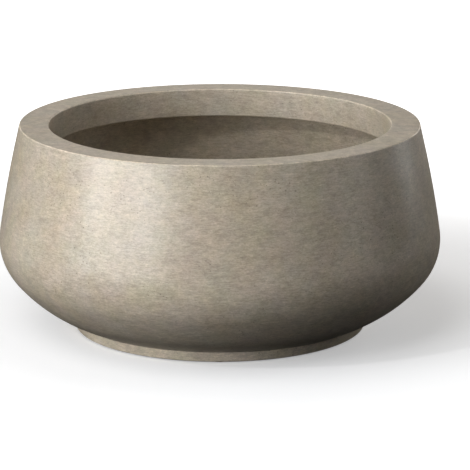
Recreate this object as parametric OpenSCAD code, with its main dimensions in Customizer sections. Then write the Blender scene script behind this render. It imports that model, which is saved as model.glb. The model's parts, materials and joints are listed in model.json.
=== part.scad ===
// Low round bowl planter: one hollow casting of fibre concrete with a turned-in rim and a
// foot ring, rubber plugs in its drain holes and rubber pads under its foot.
// Millimetres, +Z up. The origin is on the bowl's axis, on the ground that the pads stand on.
// The bowl's own outline is drawn in [radius, height], with height 0 at the foot's underside.

/* [Bowl] */
// Widest diameter, at the belly
bowl_d = 600; // [560:1:680]
// Height of the casting, from the underside of the foot to the rim
bowl_h = 280; // [260:1:320]
// Height of the widest point above the underside of the foot
belly_z = 122; // [112:1:140]
// Radius of the rounded belly, seen from the side
belly_r = 78; // [60:1:90]
// Radius of the slight outward bow of the wall, between belly and rim
wall_bow_r = 1440; // [1000:10:2400]
// Radius of the underside between foot and belly, seen from the side
under_r = 204; // [185:1:240]

/* [Wall and floor] */
// Thickness of the wall
wall_t = 14; // [10:0.5:18]
// Thickness of the floor
floor_t = 18; // [14:0.5:26]

/* [Rim] */
// How far the outer edge of the rim stands in from the belly
rim_inset = 29.5; // [20:0.5:45]
// Width of the flat rim
rim_w = 39.5; // [32:0.5:50]
// Height of the upright face inside the rim
lip_h = 40; // [30:1:60]
// Rise of the lip's underside, from its edge to the wall
lip_rise = 8; // [4:1:14]
// Radius of the hollow where the lip's underside meets the wall
lip_cove_r = 10; // [6:1:14]
// Radius on the edges of the rim, the lip and the foot
edge_r = 2; // [1:0.5:3]

/* [Foot] */
// How far the top of the foot stands in from the belly
foot_inset = 99; // [85:1:115]
// Height of the foot
foot_h = 14; // [10:1:20]
// How much narrower the foot is at the ground than at its top, on each side
foot_taper = 4; // [1:0.5:8]
// Width of the ring that the foot stands on
foot_ring_w = 32; // [30:1:45]
// Depth of the recess under the floor, inside the foot ring
recess_h = 10; // [7:0.5:14]

/* [Drain holes and plugs] */
// Number of drain holes, each with its plug
drain_n = 3; // [1:1:5]
// Diameter of a drain hole
drain_d = 24; // [18:0.5:30]
// Distance from the inside of the foot ring to the middle of a drain hole
drain_inset = 75; // [50:1:95]
// Gap between a drain hole and the ribs of its plug, on each side
plug_gap = 0.3; // [0.3:0.05:0.6]
// How far a plug's flange reaches past the drain hole, on each side
flange_lap = 6; // [4:0.5:10]
// Thickness of a plug's flange
flange_t = 3; // [2:0.5:5]
// Number of sealing ribs round a plug's stem
rib_n = 2; // [1:1:3]
// How far a sealing rib stands out from the stem
rib_out = 1.8; // [1:0.1:2.5]
// Height of a sealing rib
rib_h = 4; // [2:0.5:4.5]
// How far a plug's stem reaches below the floor
stem_below = 2; // [1:0.5:4]
// Radius of the half-round grip on top of a plug
grip_r = 10; // [7:0.5:12]
// Thickness of the grip
grip_t = 5; // [3:0.5:8]

/* [Floor pads] */
// Number of pads under the foot ring
pad_n = 6; // [3:1:12]
// Diameter of a pad
pad_d = 24; // [14:0.5:24]
// Thickness of a pad
pad_t = 3; // [2.5:0.5:5]
// Depth of the pocket that a pad sits in
pocket_h = 1.5; // [1:0.5:2]
// Gap between a pad and the side of its pocket
pocket_gap = 0.3; // [0.2:0.05:0.8]
// Width of the bevel round a pad's lower edge
pad_bevel = 0.6; // [0.3:0.1:1]

/* [Hidden] */
plug_names = [for (i = [1:drain_n]) str("drain_plug_", i)];
pad_names = [for (i = [1:pad_n]) str("floor_pad_", i)];

$fn = 96;
// Largest distance between an arc and the straight steps that draw it
arc_sag = 0.05;
// How far a cut runs past the face that it opens, and how deep a joined piece is let in
overrun = 1;
concrete_colour = [0.64, 0.60, 0.53];
rubber_colour = [0.12, 0.12, 0.12];

// Outer surface: the belly's circle lies against the inside of two larger ones, the wall's,
// which ends at the rim, and the underside's, which ends at the top of the foot.
belly_c = [bowl_d / 2 - belly_r, belly_z];
rim_edge = [bowl_d / 2 - rim_inset, bowl_h];
foot_edge = [bowl_d / 2 - foot_inset, foot_h];
wall_c = outer_centre(belly_c, belly_r, rim_edge, wall_bow_r, 1);
under_c = outer_centre(belly_c, belly_r, foot_edge, under_r, -1);
wall_angle = direction(belly_c - wall_c);
under_angle = direction(belly_c - under_c);

// Rim and lip
lip_edge = [rim_edge[0] - rim_w, bowl_h - lip_h];
lip_root_angle = asin((lip_edge[1] + lip_rise - wall_c[1]) / (wall_bow_r - wall_t));

// Foot and floor
foot_out_r = foot_edge[0] - foot_taper;
foot_in_r = foot_out_r - foot_ring_w;
floor_z = recess_h + floor_t;
floor_angle = asin((floor_z - under_c[1]) / (under_r - wall_t));

// Drain holes and pads, and how high the foot is held off the ground
drain_ring_r = foot_in_r - drain_inset;
pad_ring_r = (foot_out_r + foot_in_r) / 2;
lift = pad_t - pocket_h;

function unit(v) = v / norm(v);
function direction(v) = atan2(v[1], v[0]);
function square_of(x) = x * x;

// Centre of a circle of radius big_r that passes through the point p and touches the circle
// of radius r round c, which lies inside it. side picks one of the two that do.
function outer_centre(c, r, p, big_r, side) =
    let (
        d = norm(p - c),
        u = unit(p - c),
        along = (square_of(big_r - r) - square_of(big_r) + square_of(d)) / (2 * d),
        across = sqrt(square_of(big_r - r) - square_of(along))
    )
    c + along * u + side * across * [-u[1], u[0]];

// Equal steps that keep an arc of radius r within arc_sag of its true curve
function arc_steps(r, sweep) = ceil(abs(sweep) / (2 * acos(1 - arc_sag / r)));

// Points on an arc round c, from angle a up to but not including angle b
function arc(c, r, a, b) =
    let (n = arc_steps(r, b - a))
    [for (i = [0:n - 1]) let (t = a + (b - a) * i / n) c + r * [cos(t), sin(t)]];

// Points that round the corner at p, on the way from point a to point b, to radius r
function rounded(a, p, b, r) =
    let (
        u = unit(a - p),
        v = unit(b - p),
        half = acos(u * v) / 2,
        c = p + unit(u + v) * r / sin(half),
        start = direction(p + u * r / tan(half) - c),
        turn = direction(p + v * r / tan(half) - c) - start,
        sweep = turn > 180 ? turn - 360 : turn < -180 ? turn + 360 : turn,
        n = arc_steps(r, sweep)
    )
    [for (i = [0:n]) let (t = start + sweep * i / n) c + r * [cos(t), sin(t)]];

// Outer surface from the top of the foot up to the rim, with the wall's depth taken off
function skin_up(depth, low_angle, high_angle) = concat(
    arc(under_c, under_r - depth, low_angle, under_angle),
    arc(belly_c, belly_r - depth, under_angle, 0),
    arc(belly_c, belly_r - depth, 0, wall_angle),
    arc(wall_c, wall_bow_r - depth, wall_angle, high_angle)
);

function reversed(list) = [for (i = [len(list) - 1:-1:0]) list[i]];

module ring_of(n, r, first_angle) {
    for (i = [0:n - 1])
        rotate([0, 0, first_angle + i * 360 / n])
            translate([r, 0, 0])
                children();
}

module bowl_shell() {
    outer = skin_up(0, direction(foot_edge - under_c), direction(rim_edge - wall_c));
    inner = reversed(skin_up(wall_t, floor_angle, lip_root_angle));
    lip_root = wall_c + (wall_bow_r - wall_t) * [cos(lip_root_angle), sin(lip_root_angle)];
    rim_in = [lip_edge[0], bowl_h];
    foot_out = [foot_out_r, 0];
    foot_in = [foot_in_r, 0];
    recess_edge = [foot_in_r - foot_taper, recess_h];
    outline = concat(
        [[0, recess_h]],
        rounded([0, recess_h], recess_edge, foot_in, edge_r),
        rounded(recess_edge, foot_in, foot_out, edge_r),
        rounded(foot_in, foot_out, foot_edge, edge_r),
        outer,
        rounded(outer[len(outer) - 1], rim_edge, rim_in, edge_r),
        rounded(rim_edge, rim_in, lip_edge, edge_r),
        rounded(rim_in, lip_edge, lip_root, edge_r),
        rounded(lip_edge, lip_root, inner[0], lip_cove_r),
        inner,
        [[0, floor_z]]
    );
    color(concrete_colour)
        translate([0, 0, lift])
            difference() {
                rotate_extrude() polygon(outline);
                ring_of(drain_n, drain_ring_r, 90)
                    translate([0, 0, recess_h - overrun])
                        cylinder(d = drain_d, h = floor_t + 2 * overrun);
                ring_of(pad_n, pad_ring_r, 30)
                    translate([0, 0, -overrun])
                        cylinder(d = pad_d + 2 * pocket_gap, h = pocket_h + overrun);
            }
}

// A plug stands in its hole from above, with the flange on the floor. Its own zero is the
// floor's upper face.
module drain_plug(i) {
    rib_r = drain_d / 2 - plug_gap;
    stem_r = rib_r - rib_out;
    flange_r = drain_d / 2 + flange_lap;
    stem_end = -(floor_t + stem_below);
    rib_pitch = floor_t / (rib_n + 1);
    // Each rib is a wedge that is widest at its upper edge
    ribs = [
        for (k = [1:rib_n], point = [[0, 0], [rib_out, 0], [0, -rib_h]])
            [stem_r, rib_h / 2 - k * rib_pitch] + point
    ];
    outline = concat(
        [[0, flange_t]],
        rounded([0, flange_t], [flange_r, flange_t], [flange_r, 0], flange_t / 2),
        [[flange_r, 0], [stem_r, 0]],
        ribs,
        rounded([stem_r, 0], [stem_r, stem_end], [0, stem_end], rib_out),
        [[0, stem_end]]
    );
    color(rubber_colour)
        translate([0, 0, lift + floor_z])
            rotate([0, 0, 90 + (i - 1) * 360 / drain_n])
                translate([drain_ring_r, 0, 0]) {
                    rotate_extrude() polygon(outline);
                    rotate([90, 0, 90])
                        linear_extrude(grip_t, center = true)
                            grip_outline();
                }
}

// Half-round grip, let a little way into the flange below it
module grip_outline() {
    intersection() {
        translate([0, flange_t]) circle(r = grip_r);
        translate([-grip_r, flange_t / 2]) square([2 * grip_r, 2 * grip_r]);
    }
}

module floor_pad(i) {
    pad_r = pad_d / 2;
    outline = [
        [0, 0], [pad_r - pad_bevel, 0], [pad_r, pad_bevel], [pad_r, pad_t], [0, pad_t]
    ];
    color(rubber_colour)
        rotate([0, 0, 30 + (i - 1) * 360 / pad_n])
            translate([pad_ring_r, 0, 0])
                rotate_extrude() polygon(outline);
}

bowl_shell();
for (i = [1:drain_n]) drain_plug(i);
for (i = [1:pad_n]) floor_pad(i);
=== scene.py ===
"""Low round concrete bowl planter on a white studio floor.

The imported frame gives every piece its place. The casting, the drain plugs and the floor pads
are turned from outlines drawn in [radius, height], by one Geometry Nodes tree.
Metres, +Z up, with the origin on the bowl's axis, on the ground.
"""

import json
import math

import bmesh
import bpy
from bpy.props import (
    FloatProperty,
    FloatVectorProperty,
    IntProperty,
    PointerProperty,
)
from mathutils import Matrix, Vector


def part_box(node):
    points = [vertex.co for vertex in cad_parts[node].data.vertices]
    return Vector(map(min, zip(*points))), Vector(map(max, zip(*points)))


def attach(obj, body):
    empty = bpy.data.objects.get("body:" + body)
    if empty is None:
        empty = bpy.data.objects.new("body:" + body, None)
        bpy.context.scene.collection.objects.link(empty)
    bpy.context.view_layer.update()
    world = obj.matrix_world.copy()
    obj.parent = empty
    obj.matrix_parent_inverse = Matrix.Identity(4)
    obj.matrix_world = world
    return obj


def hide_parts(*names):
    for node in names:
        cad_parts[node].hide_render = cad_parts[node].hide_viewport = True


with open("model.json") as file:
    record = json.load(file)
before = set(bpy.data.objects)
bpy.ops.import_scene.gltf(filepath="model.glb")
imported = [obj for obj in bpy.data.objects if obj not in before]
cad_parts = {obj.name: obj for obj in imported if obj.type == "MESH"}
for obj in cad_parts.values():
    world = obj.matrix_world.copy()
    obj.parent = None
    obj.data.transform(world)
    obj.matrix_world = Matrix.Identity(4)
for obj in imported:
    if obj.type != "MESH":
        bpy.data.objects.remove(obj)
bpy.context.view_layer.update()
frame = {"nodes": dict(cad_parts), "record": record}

bl_info = {
    "name": "Concrete Bowl Planter",
    "version": (1, 0, 0),
    "blender": (4, 5, 0),
    "location": "3D View > Sidebar > Planter",
    "description": "Casting, drain plugs, floor pads and studio of a low round bowl planter",
    "category": "Object",
}

SHELL_LOW, SHELL_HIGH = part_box("bowl_shell")
PLUG_NODES = sorted(name for name in frame["nodes"] if name.startswith("drain_plug_"))
PAD_NODES = sorted(name for name in frame["nodes"] if name.startswith("floor_pad_"))

# Two points of a mesh closer than this are one
WELD = 1e-6
# Edges between faces that meet at more than this angle stay sharp
SHARP_ANGLE = math.radians(35)
# How far past a rounded edge its smooth shading reaches
GUARD = 0.0004
# What an outline says of each of its points, besides its place
MARKS = ("sway", "arris", "tone")
# How far from its middle a corner is fully marked with wear and a painted highlight, and where
# that mark ends, as shares of the corner's length
WEAR_AND_GLINT_FULL = 0.12
WEAR_AND_GLINT_END = 0.32
# Points across a finger ridge and across a pad's groove: each one's place from the middle, as
# a share of the distance to the next, and its height or depth, as a share of the whole
RIDGE_SHAPE = ((-0.25, 0), (-0.1, 1), (0.1, 1), (0.25, 0))
GROOVE_SHAPE = ((-0.14, 0), (-0.07, 1), (0.07, 1), (0.14, 0))
# How much of a grip's radius the finger ridges take up
RIDGED_SHARE = 0.95


# ---------------------------------------------------------------- settings


def length(name, description, default):
    return FloatProperty(
        name=name,
        description=description,
        default=default,
        min=0,
        precision=4,
        subtype="DISTANCE",
        unit="LENGTH",
    )


def share(name, description, default):
    return FloatProperty(
        name=name,
        description=description,
        default=default,
        min=0,
        max=1,
        subtype="FACTOR",
    )


def lightness(name, description, default):
    return FloatProperty(
        name=name, description=description, default=default, min=0, max=2, subtype="FACTOR"
    )


def angle(name, description, degrees):
    return FloatProperty(
        name=name,
        description=description,
        default=math.radians(degrees),
        subtype="ANGLE",
        unit="ROTATION",
    )


def count(name, description, default):
    return IntProperty(name=name, description=description, default=default, min=1)


def colour(name, description, default):
    return FloatVectorProperty(
        name=name,
        description=description,
        default=default,
        size=3,
        min=0,
        max=1,
        subtype="COLOR",
    )


class BowlSettings(bpy.types.PropertyGroup):
    """Sizes of the casting, as its outline is drawn, and what its surface shows"""

    belly_z: length("Belly height", "Height of the widest point above the foot", 0.122)
    belly_r: length("Belly radius", "Radius of the rounded belly, seen from the side", 0.078)
    wall_bow_r: length("Wall bow", "Radius of the slight outward bow of the wall", 1.440)
    under_r: length("Underside radius", "Radius between foot and belly, from the side", 0.204)
    wall_t: length("Wall", "Thickness of the wall", 0.014)
    floor_t: length("Floor", "Thickness of the floor", 0.018)
    rim_inset: length("Rim inset", "How far the rim's outer edge stands in", 0.0295)
    rim_w: length("Rim width", "Width of the flat rim", 0.0395)
    lip_h: length("Lip height", "Height of the upright face inside the rim", 0.040)
    lip_rise: length("Lip rise", "Rise of the lip's underside, from edge to wall", 0.008)
    lip_cove_r: length("Lip hollow", "Radius where the lip's underside meets the wall", 0.010)
    edge_r: length("Edge radius", "Radius on the edges of rim, lip and foot", 0.002)
    foot_inset: length("Foot inset", "How far the foot's top stands in", 0.099)
    foot_h: length("Foot height", "Height of the foot", 0.014)
    foot_taper: length("Foot taper", "How much narrower the foot is at the ground", 0.004)
    foot_ring_w: length("Foot ring", "Width of the ring that the foot stands on", 0.032)
    recess_h: length("Recess", "Depth of the recess inside the foot ring", 0.010)
    drain_d: length("Drain hole", "Diameter of a drain hole", 0.024)
    pocket_d: length("Pad pocket", "Diameter of the pocket that a pad sits in", 0.0246)
    pocket_h: length("Pocket depth", "Depth of the pocket that a pad sits in", 0.0015)
    steps: count("Steps round", "Number of faces round the casting", 288)
    mesh_step: length("Mesh step", "Length of the faces along the outline", 0.006)
    sway_depth: length("Sway", "How deep the hand-finished walls dip", 0.0005)
    sway_size: length("Sway length", "Distance from one dip of the walls to the next", 0.075)
    pore_r: length("Pinhole radius", "Radius of the pinholes", 0.0009)
    pore_gap: length("Pinhole gap", "Distance between two pinholes of a cluster", 0.0042)
    cluster_gap: length("Cluster gap", "Distance between clusters of pinholes", 0.075)
    tone: colour("Body colour", "Colour of most of the concrete", (0.412, 0.357, 0.279))
    pale: colour("Pale colour", "Colour of its pale clouds and specks", (0.480, 0.424, 0.342))
    deep: colour("Deep colour", "Colour of its dark clouds", (0.345, 0.296, 0.226))
    pore_colour: colour("Pinhole colour", "Colour of dark specks and pinholes", (0.07, 0.058, 0.042))
    rim_tone: lightness("Rim tone", "Lightness of the rim, against the outside", 1.0)
    # Painted shade: the lip's face and the inside are made a little darker in colour, standing in
    # for the shade they lie in
    lip_shade_tone: lightness("Lip shade tone", "Lightness of the lip's face", 0.94)
    inner_shade_tone: lightness("Inner shade tone", "Lightness of the inside", 0.98)
    # Painted light: the foot's side is made lighter in colour, standing in for the light that it
    # catches
    foot_lit_tone: lightness("Foot lit tone", "Lightness of the foot's side", 1.40)
    # The rim's edges are paler partly from wear and partly as a painted highlight along them
    arris_wear_and_glint_tone: lightness("Arris wear and glint", "Lightness of the rubbed edges", 1.35)
    # Painted shade: the band just above the foot is darker in colour, standing in for the shade that
    # falls there close to the floor
    shade_above_foot_tone: lightness("Shade above foot", "Lightness just above the foot", 0.60)
    shade_above_foot_h: length("Shade height above foot", "How far above the foot the surface is darker", 0.034)
    roughness: share("Roughness", "Middle roughness of the sealed surface", 0.34)


class RubberSettings(bpy.types.PropertyGroup):
    """Sizes of the drain plugs and floor pads"""

    plug_gap: length("Plug gap", "Gap between a drain hole and a plug's ribs", 0.0003)
    flange_lap: length("Flange lap", "How far a plug's flange reaches past its hole", 0.006)
    flange_t: length("Flange", "Thickness of a plug's flange", 0.003)
    rib_n: count("Ribs", "Number of sealing ribs round a plug's stem", 2)
    rib_out: length("Rib reach", "How far a sealing rib stands out", 0.0018)
    rib_h: length("Rib height", "Height of a sealing rib", 0.004)
    stem_below: length("Stem end", "How far a plug reaches below the floor", 0.002)
    grip_r: length("Grip radius", "Radius of the half-round grip", 0.010)
    grip_t: length("Grip thickness", "Thickness of the grip", 0.005)
    ridge_out: length("Ridge height", "Height of the grip's finger ridges", 0.0004)
    ridge_n: count("Ridges", "Number of finger ridges on each side of a grip", 3)
    bevel: length("Pad bevel", "Width of the bevel round a pad's lower edge", 0.0006)
    groove_n: count("Pad grooves", "Number of round grooves under a pad", 3)
    groove_h: length("Groove depth", "Depth of the grooves under a pad", 0.0004)
    steps: count("Steps round", "Number of faces round a plug or a pad", 72)
    tone: colour("Rubber colour", "Colour of the rubber", (0.022, 0.022, 0.023))
    dust: colour("Dust colour", "Colour of the pale dust on the rubber", (0.20, 0.18, 0.15))


class StudioSettings(bpy.types.PropertyGroup):
    """The camera, the floor and the light"""

    aim: FloatVectorProperty(
        name="Aim",
        description="Point that the camera looks at",
        default=(0.0205, 0, 0.1243),
        size=3,
        subtype="TRANSLATION",
        unit="LENGTH",
    )
    distance: length("Distance", "Distance from the camera to its aim", 4.206)
    pitch: angle("Pitch", "How far the camera looks down", 13.85)
    lens: FloatProperty(
        name="Lens", description="Focal length in millimetres", default=236.3, min=1
    )
    floor_w: length("Floor width", "Width of the studio floor", 40)
    floor_tone: colour("Floor colour", "Colour that takes the shadow", (0.712, 0.72, 0.735))
    floor_glow: share("Floor glow", "Light that the floor shows by itself", 0.365)
    floor_bounce: colour("Floor bounce", "How the floor lights the bowl", (0.07, 0.07, 0.07))


# ---------------------------------------------------------------- nodes

_made = {}


def shared(maker):
    """What the maker makes, made once"""
    if maker not in _made:
        _made[maker] = maker()
    return _made[maker]


def socket_of(sockets, key):
    """The socket with that number, or the first one in use with that name"""
    if isinstance(key, int):
        return sockets[key]
    return next(s for s in sockets if s.name == key and s.enabled)


def node_maker(tree):
    """A function that adds a node to the tree, with its settings, values and links"""

    def make(kind, inputs=None, **settings):
        node = tree.nodes.new(kind)
        for key, value in settings.items():
            setattr(node, key, value)
        for key, value in (inputs or {}).items():
            socket = socket_of(node.inputs, key)
            if isinstance(value, bpy.types.NodeSocket):
                tree.links.new(value, socket)
            else:
                socket.default_value = value
        return node

    return make


def maths_maker(make):
    """Short ways to write sums of values: maths(a, "ADD", b) gives the sum's socket"""

    def maths(a, operation, b=0.0, c=0.0, clamp=False):
        node = make(
            "ShaderNodeMath", {0: a, 1: b, 2: c}, operation=operation, use_clamp=clamp
        )
        return node.outputs[0]

    return maths


def new_tree(name, kind, inputs, outputs):
    """A node group with named sockets, given as {name: (type, default)}"""
    tree = bpy.data.node_groups.new(name, kind)
    for in_out, sockets in (("INPUT", inputs), ("OUTPUT", outputs)):
        for label, (socket_type, default) in sockets.items():
            socket = tree.interface.new_socket(
                name=label, in_out=in_out, socket_type=socket_type
            )
            if default is not None:
                socket.default_value = default
    return tree


def turning_tree():
    """Turns an outline, whose two ends lie on the axis, into a closed solid"""
    tree = new_tree(
        "Turned solid",
        "GeometryNodeTree",
        {
            "Geometry": ("NodeSocketGeometry", None),
            "Steps Round": ("NodeSocketInt", 64),
            "Sway Depth": ("NodeSocketFloat", 0.0),
            "Sway Length": ("NodeSocketFloat", 0.1),
            "Material": ("NodeSocketMaterial", None),
        },
        {"Geometry": ("NodeSocketGeometry", None)},
    )
    make = node_maker(tree)
    maths = maths_maker(make)
    given = make("NodeGroupInput").outputs
    outline = given["Geometry"]
    size = make("GeometryNodeAttributeDomainSize", {"Geometry": outline}, component="MESH")
    rows = size.outputs["Point Count"]
    sheet = make(
        "GeometryNodeMeshGrid",
        {
            "Size X": 1.0,
            "Size Y": 1.0,
            "Vertices X": maths(given["Steps Round"], "ADD", 1),
            "Vertices Y": rows,
        },
    )
    place = make("ShaderNodeSeparateXYZ", {0: make("GeometryNodeInputPosition").outputs[0]})
    turn = maths(maths(place.outputs["X"], "ADD", 0.5), "MULTIPLY", math.tau)
    row_share = maths(place.outputs["Y"], "ADD", 0.5)
    row = maths(maths(row_share, "MULTIPLY", maths(rows, "SUBTRACT", 1)), "ROUND")
    point = make(
        "GeometryNodeSampleIndex",
        {
            "Geometry": outline,
            "Value": make("GeometryNodeInputPosition").outputs[0],
            "Index": row,
        },
        data_type="FLOAT_VECTOR",
    )
    station = make("ShaderNodeSeparateXYZ", {0: point.outputs[0]})
    radius = station.outputs["X"]
    turned_place = make(
        "ShaderNodeCombineXYZ",
        {
            "X": maths(radius, "MULTIPLY", maths(turn, "COSINE")),
            "Y": maths(radius, "MULTIPLY", maths(turn, "SINE")),
            "Z": station.outputs["Z"],
        },
    )
    marks = sheet.outputs["Mesh"]
    for mark in MARKS:
        named = make(
            "GeometryNodeInputNamedAttribute", {"Name": mark}, data_type="FLOAT"
        )
        sampled = make(
            "GeometryNodeSampleIndex",
            {"Geometry": outline, "Value": named.outputs[0], "Index": row},
            data_type="FLOAT",
        )
        marks = make(
            "GeometryNodeStoreNamedAttribute",
            {"Geometry": marks, "Name": mark, "Value": sampled.outputs[0]},
            data_type="FLOAT",
            domain="POINT",
        ).outputs[0]
    turned = make(
        "GeometryNodeSetPosition", {"Geometry": marks, "Position": turned_place.outputs[0]}
    )
    welded = make(
        "GeometryNodeMergeByDistance", {"Geometry": turned.outputs[0], "Distance": WELD}
    )
    noise = make(
        "ShaderNodeTexNoise",
        {"Scale": maths(1.0, "DIVIDE", given["Sway Length"]), "Detail": 1.5},
    )
    sway = make("GeometryNodeInputNamedAttribute", {"Name": "sway"}, data_type="FLOAT")
    dip = maths(
        maths(noise.outputs[0], "MULTIPLY", given["Sway Depth"]), "MULTIPLY", sway.outputs[0]
    )
    inward = make(
        "ShaderNodeVectorMath",
        {0: make("GeometryNodeInputNormal").outputs[0], "Scale": maths(dip, "MULTIPLY", -1)},
        operation="SCALE",
    )
    dipped = make(
        "GeometryNodeSetPosition", {"Geometry": welded.outputs[0], "Offset": inward.outputs[0]}
    )
    finish_tree(make, dipped.outputs[0], given["Material"])
    return tree


def finish_tree(make, geometry, material):
    """Ends a tree in plain faces that carry the material"""
    real = make("GeometryNodeRealizeInstances", {"Geometry": geometry})
    painted = make("GeometryNodeSetMaterial", {0: real.outputs[0], "Material": material})
    make("NodeGroupOutput", {0: painted.outputs[0]})


def grown(obj, tree, values):
    """Runs a Geometry Nodes tree on an object and keeps what it makes as a plain mesh"""
    modifier = obj.modifiers.new(tree.name, "NODES")
    modifier.node_group = tree
    for item in tree.interface.items_tree:
        if item.in_out == "INPUT" and item.name in values:
            modifier[item.identifier] = values[item.name]
    evaluated = obj.evaluated_get(bpy.context.evaluated_depsgraph_get())
    mesh = bpy.data.meshes.new_from_object(evaluated)
    obj.modifiers.remove(modifier)
    obj.data = mesh
    if not mesh.polygons:
        raise RuntimeError(f"{tree.name} made nothing of {obj.name}")
    return obj


# ---------------------------------------------------------------- outlines


def direction(v):
    return math.atan2(v[1], v[0])


def at_angle(radius, turn):
    return Vector((radius * math.cos(turn), radius * math.sin(turn)))


def outer_centre(c, r, p, big_r, side):
    """Centre of a circle of radius big_r that passes through the point p and touches the
    circle of radius r round c, which lies inside it. side picks one of the two that do."""
    d = (p - c).length
    u = (p - c) / d
    along = ((big_r - r) ** 2 - big_r**2 + d**2) / (2 * d)
    across = math.sqrt((big_r - r) ** 2 - along**2)
    return c + along * u + side * across * Vector((-u[1], u[0]))


def arc(c, r, a, b, step):
    """Points on an arc round c, from angle a up to but not including angle b"""
    n = max(1, math.ceil(abs(b - a) * r / step))
    return [c + at_angle(r, a + (b - a) * i / n) for i in range(n)]


def straight(a, b, step):
    """Points on the way from a to b, without the two"""
    n = max(1, math.ceil((b - a).length / step))
    return [a.lerp(b, i / n) for i in range(1, n)]


def rounded(a, p, b, r, steps, guard=0.0):
    """Points that round the corner at p, on the way from point a to point b, to radius r.
    With a guard, one more point stands that far before and after them, so that the smooth
    shading of the corner ends there."""
    u = (a - p).normalized()
    v = (b - p).normalized()
    half = math.acos(u.dot(v)) / 2
    c = p + (u + v).normalized() * r / math.sin(half)
    start = direction(p + u * r / math.tan(half) - c)
    sweep = direction(p + v * r / math.tan(half) - c) - start
    sweep = (sweep + math.pi) % math.tau - math.pi
    points = [c + at_angle(r, start + sweep * i / steps) for i in range(steps + 1)]
    if guard:
        points = [points[0] + u * guard] + points + [points[-1] + v * guard]
    return points


def marked(points, sway=0.0, arris=0.0, tone=1.0):
    """Points of an outline with how much they may sway, how much they are an edge and how
    light their colour is made, which is painted shade on some faces and painted light on the foot"""
    return [(point, sway, arris, tone) for point in points]


def wear_and_glint_marked(corner, tone):
    """A rounded corner, marked as an edge in its middle only, where hands and tools rub it and where
    a painted highlight lies along it
    """
    last = len(corner) - 1
    points = []
    for i, point in enumerate(corner):
        from_middle = abs(i / last - 0.5)
        arris = (WEAR_AND_GLINT_END - from_middle) / (WEAR_AND_GLINT_END - WEAR_AND_GLINT_FULL)
        points += marked([point], 0, min(1, max(0, arris)), tone)
    return points


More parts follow.
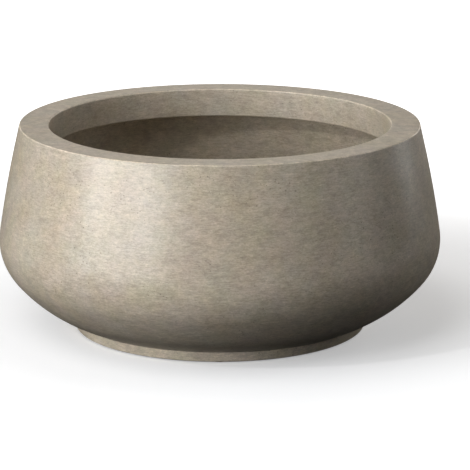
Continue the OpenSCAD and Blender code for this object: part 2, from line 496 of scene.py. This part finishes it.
def bowl_outline(bowl):
    """The casting's outline, from the axis under its floor round to the axis above it"""
    height = SHELL_HIGH.z - SHELL_LOW.z
    widest = SHELL_HIGH.x
    belly_c = Vector((widest - bowl.belly_r, bowl.belly_z))
    rim_edge = Vector((widest - bowl.rim_inset, height))
    foot_edge = Vector((widest - bowl.foot_inset, bowl.foot_h))
    wall_c = outer_centre(belly_c, bowl.belly_r, rim_edge, bowl.wall_bow_r, 1)
    under_c = outer_centre(belly_c, bowl.belly_r, foot_edge, bowl.under_r, -1)
    wall_turn = direction(belly_c - wall_c)
    under_turn = direction(belly_c - under_c)
    lip_edge = rim_edge - Vector((bowl.rim_w, bowl.lip_h))
    wall_in_r = bowl.wall_bow_r - bowl.wall_t
    lip_root_turn = math.asin((lip_edge[1] + bowl.lip_rise - wall_c[1]) / wall_in_r)
    lip_root = wall_c + at_angle(wall_in_r, lip_root_turn)
    foot_out = Vector((foot_edge[0] - bowl.foot_taper, 0))
    foot_in = foot_out - Vector((bowl.foot_ring_w, 0))
    recess_edge = foot_in + Vector((-bowl.foot_taper, bowl.recess_h))
    recess_middle = Vector((0, bowl.recess_h))
    floor_z = bowl.recess_h + bowl.floor_t
    floor_turn = math.asin((floor_z - under_c[1]) / (bowl.under_r - bowl.wall_t))
    rim_in = Vector((lip_edge[0], height))
    step = bowl.mesh_step

    def skin_up(depth, low, high):
        return (
            arc(under_c, bowl.under_r - depth, low, under_turn, step)
            + arc(belly_c, bowl.belly_r - depth, under_turn, wall_turn, step)
            + arc(wall_c, bowl.wall_bow_r - depth, wall_turn, high, step)
        )

    def edge(a, p, b, r=bowl.edge_r, steps=6):
        return rounded(a, p, b, r, steps, GUARD)

    outer = skin_up(0, direction(foot_edge - under_c), direction(rim_edge - wall_c))
    inner = skin_up(bowl.wall_t, floor_turn, lip_root_turn)[::-1]
    floor_edge = inner[-1]
    floor_middle = Vector((0, floor_z))
    corners = {
        "recess": edge(recess_middle, recess_edge, foot_in),
        "foot_in": edge(recess_edge, foot_in, foot_out),
        "foot_out": edge(foot_in, foot_out, foot_edge),
        "rim_out": edge(outer[-1], rim_edge, rim_in),
        "rim_in": edge(rim_edge, rim_in, lip_edge),
        "lip": edge(rim_in, lip_edge, lip_root),
        "cove": edge(lip_edge, lip_root, inner[0], bowl.lip_cove_r, steps=8),
    }
    # Painted shade: the outside is darkened in colour just above the foot, fading out over the shade
    # height
    painted_shade_band = []
    for point in outer[1:-1]:
        above = min(1, (point[1] - bowl.foot_h) / bowl.shade_above_foot_h)
        unshaded_share = above * above * (3 - 2 * above)
        painted_shade_band += marked([point], 1, 0, bowl.shade_above_foot_tone + (1 - bowl.shade_above_foot_tone) * unshaded_share)
    return (
        marked([recess_middle] + straight(recess_middle, corners["recess"][0], step))
        + marked(corners["recess"])
        + marked(corners["foot_in"])
        + marked(straight(corners["foot_in"][-1], corners["foot_out"][0], step))
        # Painted light: the foot's corner and side carry the lighter foot tone
        + marked(corners["foot_out"], 0, 0, bowl.foot_lit_tone)
        + marked(straight(corners["foot_out"][-1], outer[0], step / 2), 0, 0, bowl.foot_lit_tone)
        + marked([outer[0] - Vector((0, GUARD))], 0, 0, bowl.foot_lit_tone)
        + marked(outer[:1], 0, 0, bowl.shade_above_foot_tone)
        + painted_shade_band
        + marked(outer[-1:])
        + wear_and_glint_marked(corners["rim_out"], bowl.rim_tone)
        + marked(straight(corners["rim_out"][-1], corners["rim_in"][0], step), 0, 0, bowl.rim_tone)
        + wear_and_glint_marked(corners["rim_in"], bowl.rim_tone)
        # The lip's face and the inside carry painted shade through their tones
        + marked(straight(corners["rim_in"][-1], corners["lip"][0], step), 0, 0, bowl.lip_shade_tone)
        + marked(corners["lip"], 0, 0, bowl.lip_shade_tone)
        + marked(straight(corners["lip"][-1], corners["cove"][0], step), 0, 0, bowl.inner_shade_tone)
        + marked(corners["cove"], 0, 0, bowl.inner_shade_tone)
        + marked(inner, 1, 0, bowl.inner_shade_tone)
        + marked(straight(floor_edge, floor_middle, step), 0, 0, bowl.inner_shade_tone)
        + marked([floor_middle], 0, 0, bowl.inner_shade_tone)
    )


def plug_outline(rubber, bowl):
    """A drain plug's outline without its grip. Its zero is the floor's upper face"""
    rib_r = bowl.drain_d / 2 - rubber.plug_gap
    stem_r = rib_r - rubber.rib_out
    flange_r = bowl.drain_d / 2 + rubber.flange_lap
    stem_end = -(bowl.floor_t + rubber.stem_below)
    rib_pitch = bowl.floor_t / (rubber.rib_n + 1)
    top = Vector((0, rubber.flange_t))
    brow = Vector((flange_r, rubber.flange_t))
    hem = Vector((flange_r, 0))
    foot = Vector((stem_r, stem_end))
    stem_top = Vector((stem_r, 0))
    tip = Vector((0, stem_end))
    blunt = rubber.rib_out / 6
    ribs = []
    for k in range(1, rubber.rib_n + 1):
        root = Vector((stem_r, rubber.rib_h / 2 - k * rib_pitch))
        point = root + Vector((rubber.rib_out, 0))
        toe = root - Vector((0, rubber.rib_h))
        ribs += [root] + rounded(root, point, toe, blunt, steps=3) + [toe]
    return (
        marked([top] + straight(top, brow, flange_r / 6))
        + marked(rounded(top, brow, hem, rubber.flange_t / 2, steps=8)[:-1], arris=1)
        + marked([hem, stem_top])
        + marked(ribs)
        + marked(rounded(stem_top, foot, tip, rubber.rib_out, steps=6), arris=1)
        + marked(straight(foot, tip, stem_r / 3)[1:] + [tip])
    )[::-1]


def grip_outline(rubber):
    """Half of the grip's cross-section, turned about the axis through its two round faces"""
    half = rubber.grip_t / 2
    low = Vector((0, -half))
    low_edge = Vector((rubber.grip_r, -half))
    high_edge = Vector((rubber.grip_r, half))
    high = Vector((0, half))
    edge_r = rubber.grip_t / 5
    pitch = RIDGED_SHARE * rubber.grip_r / (rubber.ridge_n + 1)
    ridges = []
    for k in range(1, rubber.ridge_n + 1):
        for shift, height in RIDGE_SHAPE:
            ridges.append(Vector(((k + shift) * pitch, height * rubber.ridge_out)))
    lower = [low + Vector((r, -h)) for r, h in ridges]
    upper = [high + Vector((r, h)) for r, h in ridges]
    return marked(
        [low]
        + lower
        + rounded(low, low_edge, high_edge, edge_r, steps=5)
        + rounded(low_edge, high_edge, high, edge_r, steps=5)
        + upper[::-1]
        + [high]
    )


def pad_outline(pad_r, pad_t, rubber):
    """A floor pad's outline, from the middle of its underside"""
    pitch = pad_r / (rubber.groove_n + 1)
    grooves = []
    for k in range(1, rubber.groove_n + 1):
        for shift, depth in GROOVE_SHAPE:
            grooves.append(Vector(((k + shift) * pitch, depth * rubber.groove_h)))
    tread = Vector((pad_r - rubber.bevel, 0))
    side = Vector((pad_r, rubber.bevel))
    brow = Vector((pad_r, pad_t))
    top = Vector((0, pad_t))
    return (
        marked([Vector((0, 0))] + grooves)
        + marked([tread, side], arris=1)
        + marked(rounded(side, brow, top, rubber.bevel / 2, steps=3))
        + marked([top])
    )


# ---------------------------------------------------------------- meshes


def outline_object(name, stations):
    """An object that holds an outline's points in the XZ plane, with their marks"""
    mesh = bpy.data.meshes.new(name)
    points = [(station[0][0], 0, station[0][1]) for station in stations]
    mesh.from_pydata(points, [(i, i + 1) for i in range(len(points) - 1)], [])
    for number, mark in enumerate(MARKS, 1):
        values = mesh.attributes.new(mark, "FLOAT", "POINT").data
        for value, station in zip(values, stations):
            value.value = station[number]
    obj = bpy.data.objects.new(name, mesh)
    bpy.context.scene.collection.objects.link(obj)
    return obj


def turned(name, stations, steps, material, sway_depth=0.0, sway_length=0.1):
    """A closed solid turned from an outline"""
    values = {
        "Steps Round": steps,
        "Sway Depth": sway_depth,
        "Sway Length": sway_length,
        "Material": material,
    }
    return grown(outline_object(name, stations), shared(turning_tree), values)


def combine(obj, other, operation):
    """Cuts the other object out of this one or joins it on, and removes the other. The solver
    gives its new points no marks, and a tone of 0 is black, so they get a tone of 1."""
    modifier = obj.modifiers.new(operation, "BOOLEAN")
    modifier.object = other
    modifier.operation = operation
    modifier.solver = "MANIFOLD"
    evaluated = obj.evaluated_get(bpy.context.evaluated_depsgraph_get())
    mesh = bpy.data.meshes.new_from_object(evaluated)
    obj.modifiers.remove(modifier)
    for tone in mesh.attributes["tone"].data:
        tone.value = tone.value or 1
    obj.data = mesh
    bpy.data.objects.remove(other)
    if not mesh.polygons:
        raise RuntimeError(f"{operation} left nothing of {obj.name}")


def cut_below(obj, height):
    """Takes off what lies below a height, and closes the cut with a face"""
    bm = bmesh.new()
    bm.from_mesh(obj.data)
    cut = bmesh.ops.bisect_plane(
        bm,
        geom=bm.verts[:] + bm.edges[:] + bm.faces[:],
        plane_co=(0, 0, height),
        plane_no=(0, 0, -1),
        clear_outer=True,
    )
    rim = [part for part in cut["geom_cut"] if isinstance(part, bmesh.types.BMEdge)]
    bmesh.ops.edgenet_fill(bm, edges=rim)
    bm.to_mesh(obj.data)
    bm.free()


def drill(obj, middle, diameter, low, high, steps=64):
    """Cuts an upright round hole, with sharp edges round its mouth"""
    bm = bmesh.new()
    bmesh.ops.create_cone(
        bm,
        cap_ends=True,
        segments=steps,
        radius1=diameter / 2,
        radius2=diameter / 2,
        depth=high - low,
        matrix=Matrix.Translation((middle.x, middle.y, (low + high) / 2)),
    )
    mesh = bpy.data.meshes.new("drill")
    bm.to_mesh(mesh)
    bm.free()
    cutter = bpy.data.objects.new("drill", mesh)
    bpy.context.scene.collection.objects.link(cutter)
    combine(obj, cutter, "DIFFERENCE")


def shade(obj):
    """Smooth faces, with the edges sharp where two faces meet at a corner"""
    mesh = obj.data
    mesh.shade_smooth()
    mesh.set_sharp_from_angle(angle=SHARP_ANGLE)


def placed_copy(name, obj, matrix):
    """The object's mesh again under a new name, moved to its own place"""
    mesh = obj.data.copy()
    mesh.transform(matrix)
    copy = bpy.data.objects.new(name, mesh)
    bpy.context.scene.collection.objects.link(copy)
    return copy


def middle_of(node):
    low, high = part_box(node)
    return (low + high) / 2


def dress(obj, node, body):
    """Lets the piece stand for its node"""
    shade(obj)
    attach(obj, body)
    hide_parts(node)


def body_of(node):
    bodies = frame["record"]["behaviour"]["bodies"]
    return next(body for body, nodes in bodies.items() if node in nodes)


# ---------------------------------------------------------------- materials


def clouds_group():
    """Clouds from 0 to 1, about as high as Size and Stretch times as long. A Roughness of 1
    makes the finest of them as strong as the broadest"""
    tree = new_tree(
        "Clouds",
        "ShaderNodeTree",
        {
            "Vector": ("NodeSocketVector", None),
            "Size": ("NodeSocketFloat", 0.05),
            "Stretch": ("NodeSocketFloat", 1.0),
            "Detail": ("NodeSocketFloat", 4.0),
            "Roughness": ("NodeSocketFloat", 0.55),
            "Contrast": ("NodeSocketFloat", 1.0),
        },
        {"Shade": ("NodeSocketFloat", None)},
    )
    make = node_maker(tree)
    maths = maths_maker(make)
    given = make("NodeGroupInput").outputs
    up = maths(1.0, "DIVIDE", given["Size"])
    along = maths(up, "DIVIDE", given["Stretch"])
    scale = make("ShaderNodeCombineXYZ", {"X": along, "Y": along, "Z": up})
    drawn = make(
        "ShaderNodeVectorMath",
        {0: given["Vector"], 1: scale.outputs[0]},
        operation="MULTIPLY",
    )
    noise = make(
        "ShaderNodeTexNoise",
        {
            "Vector": drawn.outputs[0],
            "Scale": 1.0,
            "Detail": given["Detail"],
            "Roughness": given["Roughness"],
        },
    )
    around = maths(maths(noise.outputs[0], "SUBTRACT", 0.5), "MULTIPLY", given["Contrast"])
    make("NodeGroupOutput", {0: maths(around, "ADD", 0.5, clamp=True)})
    return tree


# Size of the smallest speck, against the given one, and how much of a speck is fully solid
SMALLEST_SPECK = 0.35
SPECK_CORE = 0.6


def specks_group():
    """Small round specks of a few sizes: 1 inside a speck and 0 outside"""
    tree = new_tree(
        "Specks",
        "ShaderNodeTree",
        {
            "Vector": ("NodeSocketVector", None),
            "Spacing": ("NodeSocketFloat", 0.01),
            "Radius": ("NodeSocketFloat", 0.0005),
            "Share": ("NodeSocketFloat", 0.3),
        },
        {"Mask": ("NodeSocketFloat", None)},
    )
    make = node_maker(tree)
    maths = maths_maker(make)
    given = make("NodeGroupInput").outputs
    cells = make(
        "ShaderNodeTexVoronoi",
        {
            "Vector": given["Vector"],
            "Scale": maths(1.0, "DIVIDE", given["Spacing"]),
            "Randomness": 1.0,
        },
    )
    chance = make("ShaderNodeSeparateColor", {0: cells.outputs["Color"]})
    reach = maths(given["Radius"], "DIVIDE", given["Spacing"])
    size = maths(reach, "MULTIPLY", maths(chance.outputs[1], "ADD", SMALLEST_SPECK))
    inside = make(
        "ShaderNodeMapRange",
        {
            "Value": cells.outputs["Distance"],
            "From Min": size,
            "From Max": maths(size, "MULTIPLY", SPECK_CORE),
        },
    )
    kept = maths(chance.outputs[0], "LESS_THAN", given["Share"])
    make("NodeGroupOutput", {0: maths(inside.outputs[0], "MULTIPLY", kept)})
    return tree


def new_material(name, viewport):
    material = bpy.data.materials.new(name)
    material.use_nodes = True
    material.diffuse_color = (*viewport, 1)
    material.node_tree.nodes.clear()
    return material


def mixer(make):
    """Short way to mix two colours by a share"""

    def mix(factor, a, b, blend="MIX"):
        node = make(
            "ShaderNodeMix", data_type="RGBA", blend_type=blend, clamp_factor=True
        )
        tree = node.id_data
        # Inputs 6 and 7 and output 2 of a Mix node are its colours
        for key, value in ((0, factor), (6, a), (7, b)):
            if isinstance(value, bpy.types.NodeSocket):
                tree.links.new(value, node.inputs[key])
            else:
                node.inputs[key].default_value = value
        return node.outputs[2]

    return mix


def rgba(colour_value):
    return (*colour_value, 1)


def pattern_maker(make, at):
    """Short way to place a pattern's node group, which reads the coordinates at unless its
    own Vector is given"""

    def pattern(maker, **values):
        inputs = {"Vector": at, **values}
        return make("ShaderNodeGroup", inputs, node_tree=shared(maker)).outputs[0]

    return pattern


# Where in the noise the clouds of light and dark, and those of the blue cast, are taken from
CLOUD_SHIFT = (0.8, 1.5, 1.3)
TINT_SHIFT = (0.7, 0.3, 0.5)
# How far each pattern makes the concrete lighter or darker, as a share
GRIT_SWING = 0.47
SAND_SWING = 0.30
STROKE_SWING = 0.20
# How far it is tinted towards red or green and towards blue or yellow, as a share
ROSY_SWING = 0.042
COOL_SWING = 0.060
# How much of the colour is the body's own, and how strongly each kind of mark covers it
BODY_SHARE = 0.62
PATCH_COVER = 0.35
PALE_SPECK_COVER = 0.5
DARK_SPECK_COVER = 0.35
PORE_COVER = 0.8
# Pinholes show where the cluster clouds are above this, and how fast they gain strength there
CLUSTER_START = 0.92
CLUSTER_GAIN = 8
# How far the finish is duller or glossier in places, and how much duller a rubbed edge is
ROUGH_SWING = 0.04
WORN_ROUGH = 0.2
# Height of the grit, and how the strokes and the pinholes compare with it
GRIT_H = 0.0002
STROKE_RELIEF = 0.1
PORE_RELIEF = 2


def concrete_material():
    """Sealed warm grey concrete: grit, clouds, faint tints and pinholes, with pale edges from wear
    and a painted highlight, and the painted shade and light that the outline's tone carries
    """
    bowl = bpy.context.scene.planter_bowl
    material = new_material("fibre_concrete", bowl.tone)
    make = node_maker(material.node_tree)
    maths = maths_maker(make)
    mix = mixer(make)
    at = make("ShaderNodeTexCoord").outputs["Object"]
    pattern = pattern_maker(make, at)

    def mark(name):
        return make("ShaderNodeAttribute", attribute_name=name).outputs["Fac"]

    def swing(value, depth):
        """1 in the middle of a pattern, and less or more by the depth at its ends"""
        return maths(maths(maths(value, "SUBTRACT", 0.5), "MULTIPLY", 2 * depth), "ADD", 1)

    def moved(shift):
        return make("ShaderNodeVectorMath", {0: at, 1: shift}, operation="ADD").outputs[0]

    def cover(mask, strength, under, colour_value):
        return mix(maths(mask, "MULTIPLY", strength), under, rgba(colour_value))

    cloud_at = moved(CLOUD_SHIFT)
    broad = pattern(
        clouds_group, Vector=cloud_at, Size=0.060, Stretch=1.3, Detail=3.0, Contrast=2.2
    )
    patchy = pattern(
        clouds_group, Vector=cloud_at, Size=0.022, Stretch=1.4, Detail=4.0, Contrast=2.0
    )
    rosy = pattern(clouds_group, Size=0.045, Roughness=0.65, Contrast=2.5)
    cool = pattern(
        clouds_group, Vector=moved(TINT_SHIFT), Size=0.040, Roughness=0.65, Contrast=2.5
    )
    grit = pattern(clouds_group, Size=0.010, Stretch=1.9, Detail=3.0, Roughness=1.0)
    sand = pattern(clouds_group, Size=0.0013, Stretch=2.4, Detail=1.0, Roughness=1.0)
    strokes = pattern(clouds_group, Size=0.0015, Stretch=7.0, Detail=1.0, Contrast=1.3)
    pale_specks = pattern(specks_group, Spacing=0.008, Radius=0.0009, Share=0.14)
    dark_specks = pattern(specks_group, Spacing=0.005, Radius=0.0008, Share=0.10)
    pores = pattern(specks_group, Spacing=bowl.pore_gap, Radius=bowl.pore_r, Share=0.65)
    clusters = pattern(clouds_group, Size=bowl.cluster_gap, Detail=1.0, Contrast=8.0)
    clusters = maths(clusters, "SUBTRACT", CLUSTER_START, clamp=True)
    pores = maths(maths(pores, "MULTIPLY", clusters), "MULTIPLY", CLUSTER_GAIN, clamp=True)

    base = mix(broad, rgba(bowl.deep), rgba(bowl.pale))
    base = mix(BODY_SHARE, base, rgba(bowl.tone))
    base = cover(patchy, PATCH_COVER, base, bowl.pale)
    level = maths(swing(grit, GRIT_SWING), "MULTIPLY", swing(sand, SAND_SWING))
    level = maths(level, "MULTIPLY", swing(strokes, STROKE_SWING))
    # The outline's tone: painted shade above the foot, on the lip and inside, and painted light on
    # the foot's side
    level = maths(level, "MULTIPLY", mark("tone"))
    # Edges are paler partly from wear and partly as a painted highlight along them
    wear_and_glint = maths(mark("arris"), "MULTIPLY", maths(patchy, "ADD", 0.5))
    level = maths(level, "MULTIPLY", maths(wear_and_glint, "MULTIPLY_ADD", bowl.arris_wear_and_glint_tone - 1, 1.0))
    red = maths(level, "MULTIPLY", swing(rosy, ROSY_SWING))
    blue = maths(level, "MULTIPLY", swing(cool, COOL_SWING))
    shades = make("ShaderNodeCombineColor", {0: red, 1: level, 2: blue}).outputs[0]
    base = mix(1.0, base, shades, "MULTIPLY")
    base = cover(pale_specks, PALE_SPECK_COVER, base, bowl.pale)
    base = cover(dark_specks, DARK_SPECK_COVER, base, bowl.pore_colour)
    base = cover(pores, PORE_COVER, base, bowl.pore_colour)
    rough = make(
        "ShaderNodeMapRange",
        {
            "Value": maths(maths(patchy, "ADD", grit), "MULTIPLY", 0.5),
            "To Min": bowl.roughness - ROUGH_SWING,
            "To Max": bowl.roughness + ROUGH_SWING,
        },
    ).outputs[0]
    rough = maths(rough, "ADD", maths(mark("arris"), "MULTIPLY", WORN_ROUGH))
    holes = maths(dark_specks, "ADD", maths(pores, "MULTIPLY", PORE_RELIEF))
    relief = maths(grit, "ADD", maths(strokes, "MULTIPLY", STROKE_RELIEF))
    relief = maths(relief, "SUBTRACT", holes)
    bump = make(
        "ShaderNodeBump", {"Height": relief, "Strength": 0.5, "Distance": GRIT_H}
    ).outputs[0]
    surface = make(
        "ShaderNodeBsdfPrincipled",
        {
            "Base Color": base,
            "Roughness": rough,
            "Normal": bump,
        },
    )
    make("ShaderNodeOutputMaterial", {"Surface": surface.outputs[0]})
    return material


# How strongly the film of dust and its specks cover the rubber, and how rough it is without
# dust and under it
DUST_FILM_COVER = 0.22
DUST_SPECK_COVER = 0.3
RUBBER_ROUGH = (0.5, 0.72)


def rubber_material():
    """Black moulded rubber with a little pale dust"""
    rubber = bpy.context.scene.planter_rubber
    material = new_material("rubber", rubber.tone)
    make = node_maker(material.node_tree)
    maths = maths_maker(make)
    mix = mixer(make)
    pattern = pattern_maker(make, make("ShaderNodeTexCoord").outputs["Object"])
    dusty = pattern(clouds_group, Size=0.006, Contrast=2.5)
    grain = pattern(clouds_group, Size=0.0006, Detail=2.0, Contrast=1.5)
    specks = pattern(specks_group, Spacing=0.002, Radius=0.0003, Share=0.25)
    film = maths(dusty, "MULTIPLY", DUST_FILM_COVER)
    cover = maths(film, "ADD", maths(specks, "MULTIPLY", DUST_SPECK_COVER))
    base = mix(cover, rgba(rubber.tone), rgba(rubber.dust))
    smooth, dull = RUBBER_ROUGH
    rough = make(
        "ShaderNodeMapRange", {"Value": dusty, "To Min": smooth, "To Max": dull}
    ).outputs[0]
    bump = make(
        "ShaderNodeBump", {"Height": grain, "Strength": 0.4, "Distance": 0.0001}
    ).outputs[0]
    surface = make(
        "ShaderNodeBsdfPrincipled", {"Base Color": base, "Roughness": rough, "Normal": bump}
    )
    make("ShaderNodeOutputMaterial", {"Surface": surface.outputs[0]})
    return material


# Where the floor's glow rises round the bowl, and by how much: start, end and rise. The glow is
# weaker close to the bowl, a painted shade round it
NEAR_GLOW = (0.28, 0.48, 0.13)
FAR_GLOW = (0.5, 1.3, 0.6)
# How far inside the foot's top the glow starts, and how far inside it is whole. Where there is
# no glow, under the foot's edge, it is a painted contact shadow
FOOT_SHADE = (0.013, 0.006)


def floor_material():
    """Smooth matt studio floor that the camera sees glow, up to an even white further out.
    Its glow is weaker close round the bowl, a painted shade, and there is none under the foot,
    a painted contact shadow."""
    studio = bpy.context.scene.planter_studio
    material = new_material("studio_floor", (0.9, 0.9, 0.9))
    make = node_maker(material.node_tree)
    maths = maths_maker(make)
    mix = mixer(make)
    seen = make("ShaderNodeLightPath").outputs["Is Camera Ray"]
    at = make("ShaderNodeTexCoord").outputs["Object"]
    away = make("ShaderNodeVectorMath", {0: at}, operation="LENGTH").outputs["Value"]
    foot_r = SHELL_HIGH.x - bpy.context.scene.planter_bowl.foot_inset

    def rise(start, end, height):
        return make(
            "ShaderNodeMapRange",
            {"Value": away, "From Min": start, "From Max": end, "To Max": height},
            interpolation_type="SMOOTHSTEP",
        ).outputs[0]

    # The glow rising away from the bowl paints shade round it
    glow = maths(rise(*NEAR_GLOW), "ADD", rise(*FAR_GLOW))
    glow = maths(maths(glow, "ADD", studio.floor_glow), "MULTIPLY", seen)
    shade_start, shade_end = FOOT_SHADE
    # No glow under the foot's edge: a painted contact shadow
    glow = maths(glow, "MULTIPLY", rise(foot_r - shade_start, foot_r - shade_end, 1.0))
    surface = make(
        "ShaderNodeBsdfPrincipled",
        {
            "Base Color": mix(seen, rgba(studio.floor_bounce), rgba(studio.floor_tone)),
            "Roughness": 0.9,
            "Specular IOR Level": 0.1,
            "Emission Color": (1, 1, 1, 1),
            "Emission Strength": glow,
        },
    )
    make("ShaderNodeOutputMaterial", {"Surface": surface.outputs[0]})
    return material


# ---------------------------------------------------------------- pieces


class PLANTER_OT_casting(bpy.types.Operator):
    """Turns the concrete casting, and cuts its drain holes and pad pockets"""

    bl_idname = "planter.casting"
    bl_label = "Bowl Casting"

    def execute(self, context):
        bowl = context.scene.planter_bowl
        material = shared(concrete_material)
        casting = turned(
            "bowl_casting",
            bowl_outline(bowl),
            bowl.steps,
            material,
            bowl.sway_depth,
            bowl.sway_size,
        )
        casting.data.transform(Matrix.Translation((0, 0, SHELL_LOW.z)))
        spare = bowl.edge_r
        floor_top = SHELL_LOW.z + bowl.recess_h + bowl.floor_t
        for node in PLUG_NODES:
            drill(
                casting,
                middle_of(node),
                bowl.drain_d,
                SHELL_LOW.z + bowl.recess_h - spare,
                floor_top + spare,
            )
        for node in PAD_NODES:
            drill(
                casting,
                middle_of(node),
                bowl.pocket_d,
                SHELL_LOW.z - spare,
                SHELL_LOW.z + bowl.pocket_h,
            )
        dress(casting, "bowl_shell", "bowl")
        return {"FINISHED"}


class PLANTER_OT_plugs(bpy.types.Operator):
    """Makes a rubber plug with sealing ribs and a half-round grip for each drain hole"""

    bl_idname = "planter.plugs"
    bl_label = "Drain Plugs"

    def execute(self, context):
        bowl = context.scene.planter_bowl
        rubber = context.scene.planter_rubber
        material = shared(rubber_material)
        plug = turned("plug", plug_outline(rubber, bowl), rubber.steps, material)
        grip = turned("grip", grip_outline(rubber), rubber.steps, material)
        grip.data.transform(Matrix.Rotation(math.radians(90), 4, "Y"))
        cut_below(grip, -rubber.flange_t / 2)
        grip.data.transform(Matrix.Translation((0, 0, rubber.flange_t)))
        combine(plug, grip, "UNION")
        floor_top = SHELL_LOW.z + bowl.recess_h + bowl.floor_t
        for node in PLUG_NODES:
            middle = middle_of(node)
            turn = Matrix.Rotation(direction(middle), 4, "Z")
            place = Matrix.Translation((middle.x, middle.y, floor_top)) @ turn
            piece = placed_copy(node.replace("drain_plug", "drain_stopper"), plug, place)
            dress(piece, node, body_of(node))
        bpy.data.objects.remove(plug)
        return {"FINISHED"}


class PLANTER_OT_pads(bpy.types.Operator):
    """Makes the grooved rubber pads under the foot ring"""

    bl_idname = "planter.pads"
    bl_label = "Floor Pads"

    def execute(self, context):
        rubber = context.scene.planter_rubber
        low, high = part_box(PAD_NODES[0])
        outline = pad_outline((high.x - low.x) / 2, high.z - low.z, rubber)
        pad = turned("pad", outline, rubber.steps, shared(rubber_material))
        for node in PAD_NODES:
            middle = middle_of(node)
            place = Matrix.Translation((middle.x, middle.y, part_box(node)[0].z))
            piece = placed_copy(node.replace("floor_pad", "foot_cushion"), pad, place)
            dress(piece, node, body_of(node))
        bpy.data.objects.remove(pad)
        return {"FINISHED"}


# ---------------------------------------------------------------- studio

# Round lights: name, azimuth, elevation, width, power in watts and warmth from 0 to 1.
# Azimuth 0 is on the camera's side of the bowl, and positive to its right.
SOFT_LIGHTS = (
    ("key", -46, 34, 0.15, 17, 0.0),
    ("key_sky", -45, 50, 3.5, 54, 0.0),
    ("key_low", -45, 10, 1.0, 18, 0.0),
    ("left_low", -65, 10, 1.0, 36, 0.0),
    ("front_low", -35, 10, 1.0, 19, 0.0),
    ("front", -20, 40, 1.0, 7.5, 0.0),
    ("right_low", 75, 8, 1.0, 3.5, 0.0),
    ("right", 90, 30, 2.0, 15, 0.0),
    ("back_right", 120, 8, 1.0, 7, 0.0),
    ("back_low", 150, 8, 1.0, 19, 1.0),
    ("back", 180, 20, 3.5, 14, 1.0),
    ("back_rim", 180, 8, 1.0, 1.5, 1.0),
)
# Colour of a light of warmth 1
WARM_LIGHT = Vector((1.0, 0.91, 0.80))
# How far the lights hang from the bowl's middle
LIGHT_DISTANCE = 3.2


class PLANTER_OT_studio(bpy.types.Operator):
    """Sets up the white floor, the soft lights and the camera"""

    bl_idname = "planter.studio"
    bl_label = "Studio"

    def execute(self, context):
        scene = context.scene
        studio = scene.planter_studio
        self.lay_floor(scene, studio)
        self.hang_lights(scene)
        self.set_camera(scene, studio)
        scene.world = self.white_walls()
        scene.view_settings.view_transform = "Standard"
        return {"FINISHED"}

    def white_walls(self):
        """An even white all round that the camera sees, and that gives no light"""
        world = bpy.data.worlds.new("studio")
        world.use_nodes = True
        make = node_maker(world.node_tree)
        sky = world.node_tree.nodes["Background"]
        sky.inputs["Color"].default_value = (1, 1, 1, 1)
        seen = make("ShaderNodeLightPath").outputs["Is Camera Ray"]
        world.node_tree.links.new(seen, sky.inputs["Strength"])
        return world

    def lay_floor(self, scene, studio):
        half = studio.floor_w / 2
        mesh = bpy.data.meshes.new("studio_floor")
        corners = [(-half, -half, 0), (half, -half, 0), (half, half, 0), (-half, half, 0)]
        mesh.from_pydata(corners, [], [(0, 1, 2, 3)])
        mesh.materials.append(shared(floor_material))
        floor = bpy.data.objects.new("studio_floor", mesh)
        scene.collection.objects.link(floor)

    def hang_lights(self, scene):
        middle = middle_of("bowl_shell")
        white = Vector((1, 1, 1))
        for name, azimuth, elevation, width, power, warmth in SOFT_LIGHTS:
            around = math.radians(azimuth)
            up = math.radians(elevation)
            away = Vector(
                (
                    math.sin(around) * math.cos(up),
                    -math.cos(around) * math.cos(up),
                    math.sin(up),
                )
            )
            light = bpy.data.lights.new(name, "AREA")
            light.shape = "DISK"
            light.size = width
            light.energy = power
            light.color = white.lerp(WARM_LIGHT, warmth)
            lamp = bpy.data.objects.new(name, light)
            lamp.location = middle + away * LIGHT_DISTANCE
            lamp.rotation_euler = (-away).to_track_quat("-Z", "Y").to_euler()
            scene.collection.objects.link(lamp)

    def set_camera(self, scene, studio):
        data = bpy.data.cameras.new("camera")
        data.lens = studio.lens
        data.clip_end = 2 * studio.floor_w
        camera = bpy.data.objects.new("camera", data)
        back = Vector((0, -math.cos(studio.pitch), math.sin(studio.pitch)))
        camera.location = Vector(studio.aim) + back * studio.distance
        camera.rotation_euler = (math.radians(90) - studio.pitch, 0, 0)
        scene.collection.objects.link(camera)
        scene.camera = camera


# ---------------------------------------------------------------- add-on


class PLANTER_PT_sidebar(bpy.types.Panel):
    """The planter's settings and its operators"""

    bl_label = "Bowl Planter"
    bl_idname = "PLANTER_PT_sidebar"
    bl_space_type = "VIEW_3D"
    bl_region_type = "UI"
    bl_category = "Planter"

    def draw(self, context):
        for group, operators in PANEL_ROWS:
            box = self.layout.box()
            settings = getattr(context.scene, group)
            for name in settings.__annotations__:
                box.prop(settings, name)
            for operator in operators:
                box.operator(operator.bl_idname)


SETTINGS = {
    "planter_bowl": BowlSettings,
    "planter_rubber": RubberSettings,
    "planter_studio": StudioSettings,
}
OPERATORS = (PLANTER_OT_casting, PLANTER_OT_plugs, PLANTER_OT_pads, PLANTER_OT_studio)
PANEL_ROWS = (
    ("planter_bowl", (PLANTER_OT_casting,)),
    ("planter_rubber", (PLANTER_OT_plugs, PLANTER_OT_pads)),
    ("planter_studio", (PLANTER_OT_studio,)),
)
CLASSES = (*SETTINGS.values(), *OPERATORS, PLANTER_PT_sidebar)


def register():
    for cls in CLASSES:
        bpy.utils.register_class(cls)
    for name, group in SETTINGS.items():
        setattr(bpy.types.Scene, name, PointerProperty(type=group))


def unregister():
    for name in SETTINGS:
        delattr(bpy.types.Scene, name)
    for cls in reversed(CLASSES):
        bpy.utils.unregister_class(cls)


def main():
    register()
    bpy.ops.planter.casting()
    bpy.ops.planter.plugs()
    bpy.ops.planter.pads()
    bpy.ops.planter.studio()


if __name__ == "__main__":
    main()
